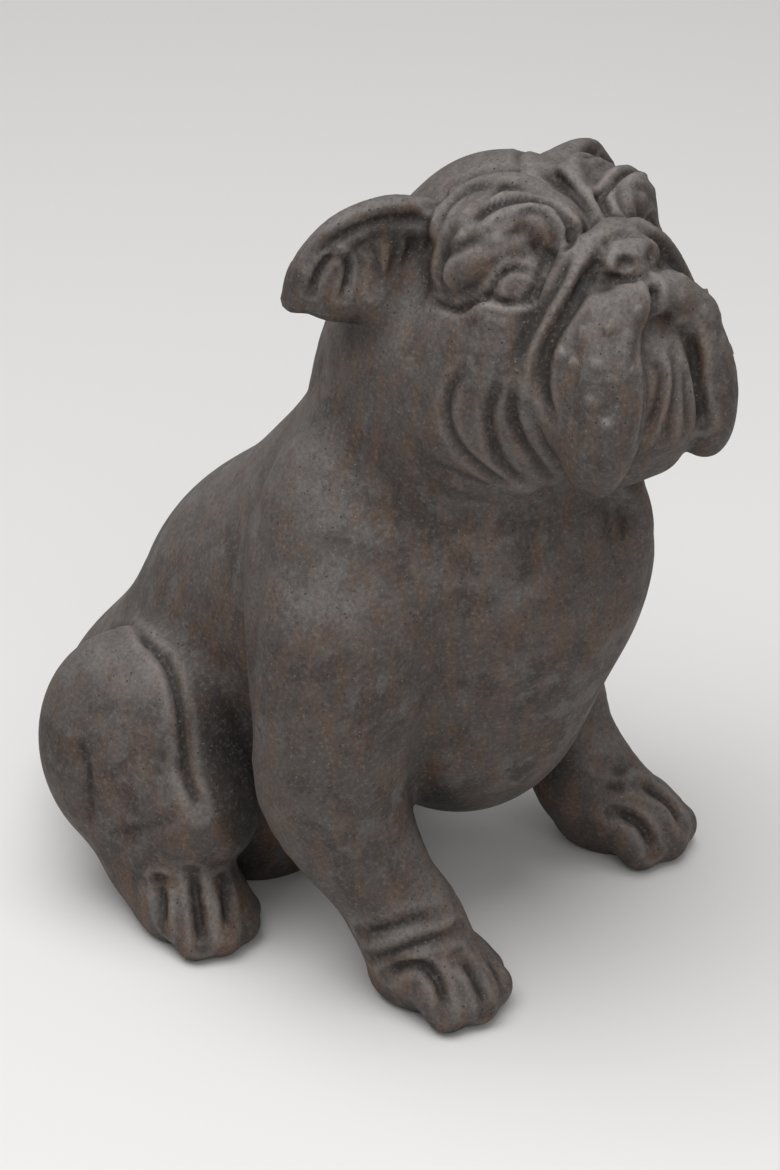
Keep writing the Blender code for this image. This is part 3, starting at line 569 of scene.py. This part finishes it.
class Figure:
    """The whole dog: the body, and the head set on its neck."""

    def __init__(self, head_turn):
        self.body = body_clay()
        self.head = head_clay()
        self.at = np.array(HEAD_AT)
        self.turn = turn_matrix(head_turn)

    def to_head(self, p):
        return (p - self.at) @ self.turn

    def from_head(self, p):
        return p @ self.turn.T + self.at

    def distance(self, p):
        head = self.head.distance(self.to_head(p))
        return soft_min(self.body.distance(p), head, NECK_BLEND)

    def relief(self, p, widest=FAR):
        deep = self.body.relief(p, widest) + self.head.relief(self.to_head(p), widest)
        return np.clip(deep, PROUDEST, DEEPEST)

    def dotted(self, p):
        """Where the roots of the whiskers stand, from 0 to 1."""
        q = self.to_head(p)
        near = [((q - root) ** 2).sum(1) for root in self.head.dots]
        return np.exp(-np.min(near, axis=0) / 0.4)

    def fine_places(self, p):
        """Where the carving is close enough to need a finer skin: the face, ears and paws."""
        q = self.to_head(p)
        face = (q[:, 1] < 4) & (q[:, 2] > -20) & (np.abs(q[:, 0]) < 26)
        paws = (p[:, 2] < 12) & (p[:, 1] < 14) & (np.abs(p[:, 0]) > 11)
        return face | paws

    def balls(self):
        """Every ball of clay as a 4 x 4 matrix that shapes a unit sphere."""
        for centre, shape in self.body.balls:
            yield matrix_of(centre, shape)
        for centre, shape in self.head.balls:
            yield matrix_of(self.from_head(centre), self.turn @ shape)


def matrix_of(centre, shape):
    m = np.eye(4)
    m[:3, :3] = shape
    m[:3, 3] = centre
    return Matrix(m.tolist())


def voxel_remeshed(mesh, voxel, smooth):
    """The mesh as one even skin of small squares, relaxed."""
    obj = bpy.data.objects.new("remesh", mesh)
    bpy.context.scene.collection.objects.link(obj)
    remesh = obj.modifiers.new("voxels", "REMESH")
    remesh.mode = "VOXEL"
    remesh.voxel_size = voxel
    relax = obj.modifiers.new("relax", "SMOOTH")
    relax.factor = 0.5
    relax.iterations = smooth
    bpy.context.view_layer.update()
    graph = bpy.context.evaluated_depsgraph_get()
    made = bpy.data.meshes.new_from_object(obj.evaluated_get(graph))
    bpy.data.objects.remove(obj)
    return made


def rows_of(mesh, what):
    """Three numbers for each of the mesh's points: its co or its normal."""
    rows = np.empty(len(mesh.vertices) * 3)
    mesh.vertices.foreach_get(what, rows)
    return rows.reshape(-1, 3)


def move_points(mesh, p):
    mesh.vertices.foreach_set("co", p.ravel())
    mesh.update()


def settle_mesh(mesh, distance, rounds):
    move_points(mesh, settled(rows_of(mesh, "co"), distance, rounds))


def carve(mesh, relief):
    """Presses the grooves into the skin, straight in."""
    p = rows_of(mesh, "co")
    move_points(mesh, p - rows_of(mesh, "normal") * relief(p)[:, None])


def skin_attributes(mesh, figure):
    """Marks how hollow or proud the skin is, for the finish to gather in or rub off, and for the painted
    shade in hollows, folds and creases.
    """
    p, n = rows_of(mesh, "co"), rows_of(mesh, "normal")
    here = figure.distance(p)
    deep = figure.relief(p, GATHERS_COAT_AND_SHADE)

    def hollow(reach):
        return np.clip((reach - (figure.distance(p + n * reach) - here)) / reach, 0, 1)

    def proud(reach):
        return np.clip((figure.distance(p - n * reach) - here + reach) / reach, 0, 1)

    # The hollow marks paint shade in the finish: crease at the bottom of grooves (where coat also gathers),
    # fold in folds, and the broad hollowness in hollows and under the belly, where it also keeps rust.
    values = {
        "crease": np.clip(hollow(0.7) + np.clip(deep, 0, 2) / 0.8, 0, 1),
        "fold": hollow(2.2),
        "shelter_and_shade": 0.5 * hollow(6.0) + 0.5 * hollow(12.0),
        "rub": np.clip(proud(1.6) - 2 * np.abs(deep), 0, 1),
        "lip": np.clip(-6 * figure.relief(p, RUBBED_BANKS) + 1.2 * figure.dotted(p), 0, 1),
    }
    for name, value in values.items():
        layer = mesh.attributes.new(name, "FLOAT", "POINT")
        layer.data.foreach_set("value", value.astype(np.float32))


def cast(figure, voxel):
    """The figure as a mesh: its balls fused, settled onto the soft skin, and finer where it is carved."""
    bm = bmesh.new()
    for ball in figure.balls():
        bmesh.ops.create_icosphere(bm, subdivisions=2, radius=1.0, matrix=ball)
    mesh = bpy.data.meshes.new(NAME)
    bm.to_mesh(mesh)
    bm.free()
    mesh = voxel_remeshed(mesh, voxel, 2)
    settle_mesh(mesh, figure.distance, 4)
    mesh = voxel_remeshed(mesh, voxel, 1)
    settle_mesh(mesh, figure.distance, 1)
    bm = bmesh.new()
    bm.from_mesh(mesh)
    bm.verts.ensure_lookup_table()
    p = np.array([v.co for v in bm.verts])
    fine = figure.fine_places(p)
    edges = [e for e in bm.edges if fine[e.verts[0].index] and fine[e.verts[1].index]]
    bmesh.ops.subdivide_edges(bm, edges=edges, cuts=1, use_grid_fill=True)
    bmesh.ops.triangulate(bm, faces=[f for f in bm.faces if len(f.verts) > 4])
    bm.to_mesh(mesh)
    bm.free()
    settle_mesh(mesh, figure.distance, 2)
    return mesh


def cut_at_floor(mesh):
    """Takes off what lies below the floor and closes the underside flat."""
    bm = bmesh.new()
    bm.from_mesh(mesh)
    whole = bm.verts[:] + bm.edges[:] + bm.faces[:]
    cut = bmesh.ops.bisect_plane(bm, geom=whole, plane_co=(0, 0, 0), plane_no=(0, 0, 1), clear_inner=True)
    rims = [g for g in cut["geom_cut"] if isinstance(g, bmesh.types.BMEdge)]
    soles = bmesh.ops.edgeloop_fill(bm, edges=rims)["faces"]
    bmesh.ops.recalc_face_normals(bm, faces=bm.faces[:])
    for face in soles:
        face.smooth = False
    bm.to_mesh(mesh)
    bm.free()


def centre_on_floor(mesh):
    """Puts the origin under the middle of the statue, on the floor."""
    p = rows_of(mesh, "co")
    low, high = p.min(0), p.max(0)
    mesh.transform(Matrix.Translation((-(low[0] + high[0]) / 2, -(low[1] + high[1]) / 2, 0)))


def linear(colour):
    """An sRGB hex colour as linear red, green, blue and alpha."""
    values = [int(colour[i : i + 2], 16) / 255 for i in (1, 3, 5)]
    return (*[v / 12.92 if v <= 0.04045 else ((v + 0.055) / 1.055) ** 2.4 for v in values], 1.0)


def add_node(tree, kind, settings=None, **inputs):
    """A node with its settings, and its sockets, by name or as i and a number, set or linked."""
    node = tree.nodes.new("ShaderNode" + kind)
    for key, value in (settings or {}).items():
        setattr(node, key, value)
    for key, value in inputs.items():
        numbered = key[0] == "i" and key[1:].isdigit()
        socket = node.inputs[int(key[1:]) if numbered else key]
        if isinstance(value, bpy.types.NodeSocket):
            tree.links.new(value, socket)
        else:
            socket.default_value = value
    return node


def clear_material(name):
    """A new material with nothing in it yet."""
    material = bpy.data.materials.new(name)
    material.use_nodes = True
    material.node_tree.nodes.clear()
    return material


def worn_cast_stone(finish):
    """Cast fibre cement, moulded then coated dark and rubbed back: matt, with fine pits, rusty brown where
    the coat gathers and a cool grey on faces that look up, partly worn by hands and rain and partly painted
    top light. Painted shade darkens the hollows, the underside, the folds and the creases."""
    material = clear_material("worn_cast_stone")
    tree = material.node_tree
    place = add_node(tree, "TexCoord").outputs["Object"]

    def noise(size_mm, detail, roughness, stretch=(1, 1, 1), seed=0.0):
        where = add_node(tree, "Mapping", Vector=place, Scale=stretch, Location=(seed, seed * 0.7, 0))
        spot, scale = where.outputs[0], 1000 / size_mm
        made = add_node(tree, "TexNoise", Vector=spot, Scale=scale, Detail=detail, Roughness=roughness)
        return made.outputs["Fac"]

    def ramp(value, low, high, to_low=0.0, to_high=1.0):
        smooth = {"interpolation_type": "SMOOTHSTEP"}
        return add_node(tree, "MapRange", smooth, i0=value, i1=low, i2=high, i3=to_low, i4=to_high).outputs[0]

    def math_of(kind, a, b):
        settings = {"operation": kind, "use_clamp": kind != "SUBTRACT"}
        return add_node(tree, "Math", settings, i0=a, i1=b).outputs[0]

    def times(a, b):
        return math_of("MULTIPLY", a, b)

    def mix(share, a, b):
        return add_node(tree, "Mix", {"data_type": "RGBA"}, i0=share, i6=a, i7=b).outputs[2]

    def worked(name):
        return add_node(tree, "Attribute", {"attribute_name": name}).outputs["Fac"]

    names = ("crease", "fold", "shelter_and_shade", "rub", "lip")
    crease, fold, shelter_and_shade, rub, lip = (worked(name) for name in names)
    # Millimetres: clouds in the coat, patches, dents of the mould, runs of rust and grain. The grit of
    # the cement is finer than the picture can show, so it is drawn 0.8 mm coarse.
    broad = noise(60, 5, 0.6)
    patch = noise(17, 6, 0.68, seed=3.0)
    dents = noise(7, 3, 0.5, seed=5.0)
    streak = noise(10, 5, 0.65, stretch=(1, 1, 0.3), seed=7.0)
    grain = noise(2.2, 5, 0.75, seed=11.0)
    fine = noise(0.8, 2, 0.6, seed=13.0)
    up = add_node(tree, "SeparateXYZ", Vector=add_node(tree, "NewGeometry").outputs["Normal"]).outputs[2]

    coat, coat_dark, rubbed = linear(finish.coat), linear(finish.coat_dark), linear(finish.rubbed)
    rust, deep, bare, grit = (linear(c) for c in (finish.rust, finish.deep, finish.edge, finish.grit))
    # the coat, thick and thin, a lighter grey where it faces up, partly wear and partly painted top light
    colour = mix(ramp(broad, 0.38, 0.62), coat_dark, coat)
    colour = mix(times(ramp(patch, 0.5, 0.68), 0.7), colour, coat_dark)
    top_light_and_wear = times(ramp(up, 0.1, 0.9), ramp(patch, 0.3, 0.62, 1.0, 0.55))
    colour = mix(times(top_light_and_wear, 0.85), colour, rubbed)
    colour = mix(times(ramp(broad, 0.56, 0.44), ramp(patch, 0.56, 0.4, 0.0, 0.6)), colour, grit)
    # rust in runs down the sides, and rust and dirt splashed up to 0.1 m from the ground
    rusty = times(ramp(streak, 0.46, 0.62), ramp(up, 0.2, 0.9, 1.0, 0.3))
    rusty = times(rusty, ramp(shelter_and_shade, 0.0, 0.4, 0.6, 1.0))
    colour = mix(times(rusty, 0.8), colour, rust)
    level = add_node(tree, "SeparateXYZ", Vector=place).outputs[2]
    splash = times(ramp(level, 0.1, 0.0, 0.0, 0.75), ramp(patch, 0.35, 0.6, 0.45, 1.0))
    colour = mix(splash, colour, mix(ramp(streak, 0.4, 0.6), coat_dark, rust))
    # painted shade: dark in broad hollows, on faces turned down under the belly and in folds; at the bottom
    # of creases partly gathered coat and partly painted shade
    colour = mix(ramp(shelter_and_shade, 0.25, 0.8, 0.0, 0.75), colour, deep)
    colour = mix(ramp(up, -0.25, -0.85, 0.0, 0.7), colour, deep)
    colour = mix(ramp(fold, 0.15, 0.8, 0.0, 0.6), colour, deep)
    colour = mix(ramp(crease, 0.08, 0.75, 0.0, 0.85), colour, deep)
    # bare cement along rubbed edges and the banks of thin grooves, and light and dark grain
    edge = times(ramp(rub, 0.45, 1.0), ramp(patch, 0.3, 0.6, 0.3, 1.0))
    colour = mix(times(edge, 0.28), colour, bare)
    colour = mix(times(lip, 0.3), colour, bare)
    colour = mix(ramp(grain, 0.5, 0.7, 0.0, 0.22), colour, bare)
    colour = mix(ramp(grain, 0.5, 0.34, 0.0, 0.4), colour, deep)

    def flecks(size_mm, share, inner, outer, channel):
        """Small round flecks, one to some cells of the given size."""
        cells = add_node(tree, "TexVoronoi", {"feature": "F1"}, Vector=place, Scale=1000 / size_mm)
        picked = add_node(tree, "SeparateColor", i0=cells.outputs["Color"]).outputs[channel]
        return times(ramp(cells.outputs["Distance"], outer, inner), ramp(picked, 1 - share, 1.02 - share))

    pit = flecks(3.6, 0.3, 0.08, 0.17, 0)
    colour = mix(times(pit, 0.75), colour, deep)
    speck = flecks(3.0, 0.14, 0.06, 0.16, 1)
    colour = mix(times(speck, 0.6), colour, bare)

    rough = ramp(patch, 0.3, 0.7, 0.58, 0.74)
    height = math_of("ADD", times(grain, 0.35), times(fine, 0.2))
    height = math_of("ADD", height, times(dents, 0.45))
    height = math_of("SUBTRACT", height, times(pit, 0.8))
    bump = add_node(tree, "Bump", Strength=0.7, Distance=0.0018, Height=height)
    shader = add_node(tree, "BsdfPrincipled", Roughness=rough, Normal=bump.outputs[0])
    tree.links.new(colour, shader.inputs["Base Color"])
    add_node(tree, "OutputMaterial", Surface=shader.outputs[0])
    return material


def hex_colour(name, default, description):
    """A colour setting, written as sRGB hex."""
    return StringProperty(name=name, default=default, description=description)


class StatueFormSettings(bpy.types.PropertyGroup):
    """Sizes of the cast figure."""

    height: FloatProperty(
        name="Height", default=HEIGHT, unit="LENGTH", description="From the floor to the highest point"
    )
    fineness: FloatProperty(
        name="Fineness", default=0.0039, unit="LENGTH", description="Size of the body skin's small squares"
    )
    head_turn: FloatVectorProperty(
        name="Head turn",
        default=[math.radians(a) for a in HEAD_TURN],
        subtype="EULER",
        unit="ROTATION",
        description="How the head is raised and turned on the neck",
    )


class StatueFinishSettings(bpy.types.PropertyGroup):
    """Colours of the coat, as sRGB hex."""

    coat: hex_colour("Coat", "#48403C", "The coat on open planes")
    coat_dark: hex_colour("Dark coat", "#342D2A", "The coat where it lies thick")
    # Also painted top light: this lighter grey goes on the faces that look up, as well as the wear there.
    rubbed: hex_colour("Rubbed coat", "#726E6C", "Worn places that face up")
    rust: hex_colour("Rust", "#5A4231", "Rusty brown in sheltered places")
    # Also the painted shade in broad hollows, under the belly, in folds and at the bottom of creases.
    deep: hex_colour("Deep", "#17110E", "The bottom of creases and pits")
    edge: hex_colour("Edge", "#958E89", "Bare cement along rubbed edges")
    grit: hex_colour("Grit", "#5F5B58", "Fine sand that shows through")


class StatueStageSettings(bpy.types.PropertyGroup):
    """The studio floor, lights and camera."""

    floor_colour: hex_colour("Floor", "#E2E1E0", "Plain pale floor")
    key_power: FloatProperty(
        name="Key light", default=62.0, unit="POWER", description="Large soft light, high and to the left"
    )
    fill_power: FloatProperty(
        name="Fill light", default=9.0, unit="POWER", description="Soft light beside the camera, to its right"
    )
    lens: FloatProperty(
        name="Lens", default=135.9, unit="CAMERA", description="Focal length on a 36 mm sensor"
    )
    camera_distance: FloatProperty(
        name="Camera distance", default=2.3287, unit="LENGTH", description="From the aim to the lens"
    )
    camera_azimuth: FloatProperty(
        name="Camera azimuth",
        default=math.radians(-58),
        unit="ROTATION",
        description="Turn from straight ahead of the dog",
    )
    camera_height: FloatProperty(
        name="Camera elevation", default=math.radians(30), unit="ROTATION", description="Angle above level"
    )


class CastBulldog(bpy.types.Operator):
    """Cast the bulldog with its carving and give it its worn stone coat"""

    bl_idname = "statue.cast_bulldog"
    bl_label = "Cast bulldog"

    def execute(self, context):
        form = context.scene.statue_form
        share = form.height / CROWN
        figure = Figure(np.degrees(form.head_turn))
        mesh = cast(figure, form.fineness / share)
        skin_attributes(mesh, figure)
        carve(mesh, figure.relief)
        cut_at_floor(mesh)
        mesh.transform(Matrix.Scale(share, 4))
        centre_on_floor(mesh)
        mesh.shade_smooth()
        mesh.materials.clear()
        mesh.materials.append(worn_cast_stone(context.scene.statue_finish))
        statue = bpy.data.objects.new(NAME, mesh)
        context.scene.collection.objects.link(statue)
        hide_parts("bulldog")
        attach(statue, "root")
        return {"FINISHED"}


class SetStage(bpy.types.Operator):
    """Lay the pale floor, hang the soft lights and place the camera"""

    bl_idname = "statue.set_stage"
    bl_label = "Set stage"

    def execute(self, context):
        stage = context.scene.statue_stage
        self.floor(context, stage)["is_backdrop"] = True
        self.world(context)
        context.scene.view_settings.view_transform = "Standard"
        aim = Vector(AIM)
        azimuth, height = stage.camera_azimuth, stage.camera_height
        level = math.cos(height)
        back = Vector((math.sin(azimuth) * level, -math.cos(azimuth) * level, math.sin(height)))
        left = back.cross(Vector((0, 0, 1))).normalized()
        self.camera(context, stage, aim, back)
        key = aim + (back * 0.5 + left * 0.35 + Vector((0, 0, 2.1)))
        fill = aim + (back * 2.0 - left * 0.5 + Vector((0, 0, 0.1)))
        self.soft_light(context, "key", key, aim, KEY_SIZE, stage.key_power)
        self.soft_light(context, "fill", fill, aim, FILL_SIZE, stage.fill_power)
        return {"FINISHED"}

    def floor(self, context, stage):
        """A round of board painted matt and pale, so it shows only the statue's soft shadow."""
        material = clear_material("matt_painted_floor")
        tree = material.node_tree
        shader = add_node(tree, "BsdfPrincipled", Roughness=0.9)
        shader.inputs["Base Color"].default_value = linear(stage.floor_colour)
        add_node(tree, "OutputMaterial", Surface=shader.outputs[0])
        bm = bmesh.new()
        bmesh.ops.create_circle(bm, cap_ends=True, segments=64, radius=FLOOR_RADIUS)
        mesh = bpy.data.meshes.new("studio_floor")
        bm.to_mesh(mesh)
        bm.free()
        mesh.materials.append(material)
        floor = bpy.data.objects.new("studio_floor", mesh)
        context.scene.collection.objects.link(floor)
        return floor

    def world(self, context):
        """Even pale light from all round."""
        world = bpy.data.worlds.new("studio")
        world.use_nodes = True
        background = world.node_tree.nodes["Background"]
        background.inputs[0].default_value = SKY
        background.inputs[1].default_value = SKY_STRENGTH
        context.scene.world = world

    def camera(self, context, stage, aim, back):
        """The camera, back from what it looks at."""
        lens = bpy.data.cameras.new("camera")
        lens.lens = stage.lens
        lens.sensor_width = 36.0
        lens.clip_end = 100.0
        camera = bpy.data.objects.new("camera", lens)
        camera.location = aim + back * stage.camera_distance
        camera.rotation_euler = (-back).to_track_quat("-Z", "Y").to_euler()
        context.scene.collection.objects.link(camera)
        context.scene.camera = camera

    def soft_light(self, context, name, place, aim, size, power):
        """A round lamp that shines on what it looks at."""
        lamp = bpy.data.lights.new(name, "AREA")
        lamp.shape = "DISK"
        lamp.size = size
        lamp.energy = power
        light = bpy.data.objects.new(name, lamp)
        light.location = place
        light.rotation_euler = (aim - place).to_track_quat("-Z", "Y").to_euler()
        context.scene.collection.objects.link(light)


class StatuePanel(bpy.types.Panel):
    """The statue's settings in the sidebar"""

    bl_idname = "VIEW3D_PT_statue"
    bl_label = "Bulldog statue"
    bl_space_type = "VIEW_3D"
    bl_region_type = "UI"
    bl_category = "Statue"

    def draw(self, context):
        layout = self.layout
        for group in ("statue_form", "statue_finish", "statue_stage"):
            box = layout.box()
            settings = getattr(context.scene, group)
            for name in settings.__annotations__:
                box.prop(settings, name)
        layout.operator(CastBulldog.bl_idname)
        layout.operator(SetStage.bl_idname)


CLASSES = (
    StatueFormSettings,
    StatueFinishSettings,
    StatueStageSettings,
    CastBulldog,
    SetStage,
    StatuePanel,
)
SETTINGS = {
    "statue_form": StatueFormSettings,
    "statue_finish": StatueFinishSettings,
    "statue_stage": StatueStageSettings,
}


def register():
    for made in CLASSES:
        bpy.utils.register_class(made)
    for name, made in SETTINGS.items():
        setattr(bpy.types.Scene, name, PointerProperty(type=made))


def unregister():
    for name in SETTINGS:
        delattr(bpy.types.Scene, name)
    for made in reversed(CLASSES):
        bpy.utils.unregister_class(made)


def main():
    register()
    bpy.ops.statue.cast_bulldog()
    bpy.ops.statue.set_stage()
    boxes = {"cad": CAD_BOX, "visual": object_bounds()}
    plain = {key: [[float(v) for v in corner] for corner in box] for key, box in boxes.items()}


if __name__ == "__main__":
    main()
